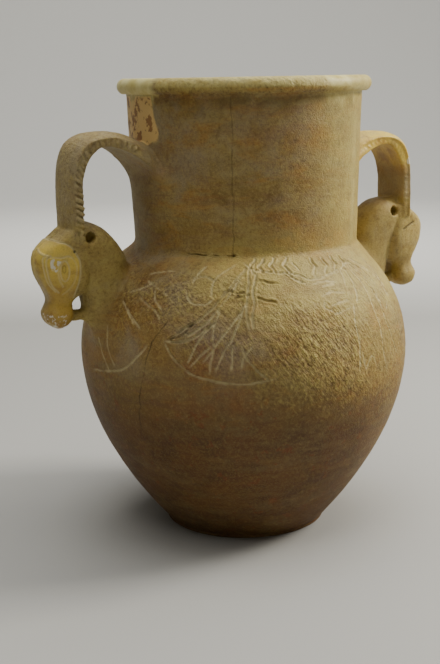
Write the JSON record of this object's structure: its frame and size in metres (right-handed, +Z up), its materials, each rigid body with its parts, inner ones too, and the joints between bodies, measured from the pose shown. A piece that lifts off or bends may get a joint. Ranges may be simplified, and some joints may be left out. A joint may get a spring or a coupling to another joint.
{
  "type": "alabaster amphora",
  "caption": "Hollow carved stone storage jar with a wide straight neck, swelling body, small flat foot and handles shaped as horned ibex heads.",
  "frame": {"origin": "middle of the foot's flat underside", "axes": "+Z up out of the mouth; +X towards the right-hand handle as the engraved front is faced; -Y towards the engraved front"},
  "size_m": [0.3366, 0.2506, 0.34],
  "materials": {
    "alabaster": "worn, softly polished, warm yellow-brown with eroded patches"
  },
  "bodies": {
    "root": {"amphora": "alabaster"}
  },
  "joints": []
}
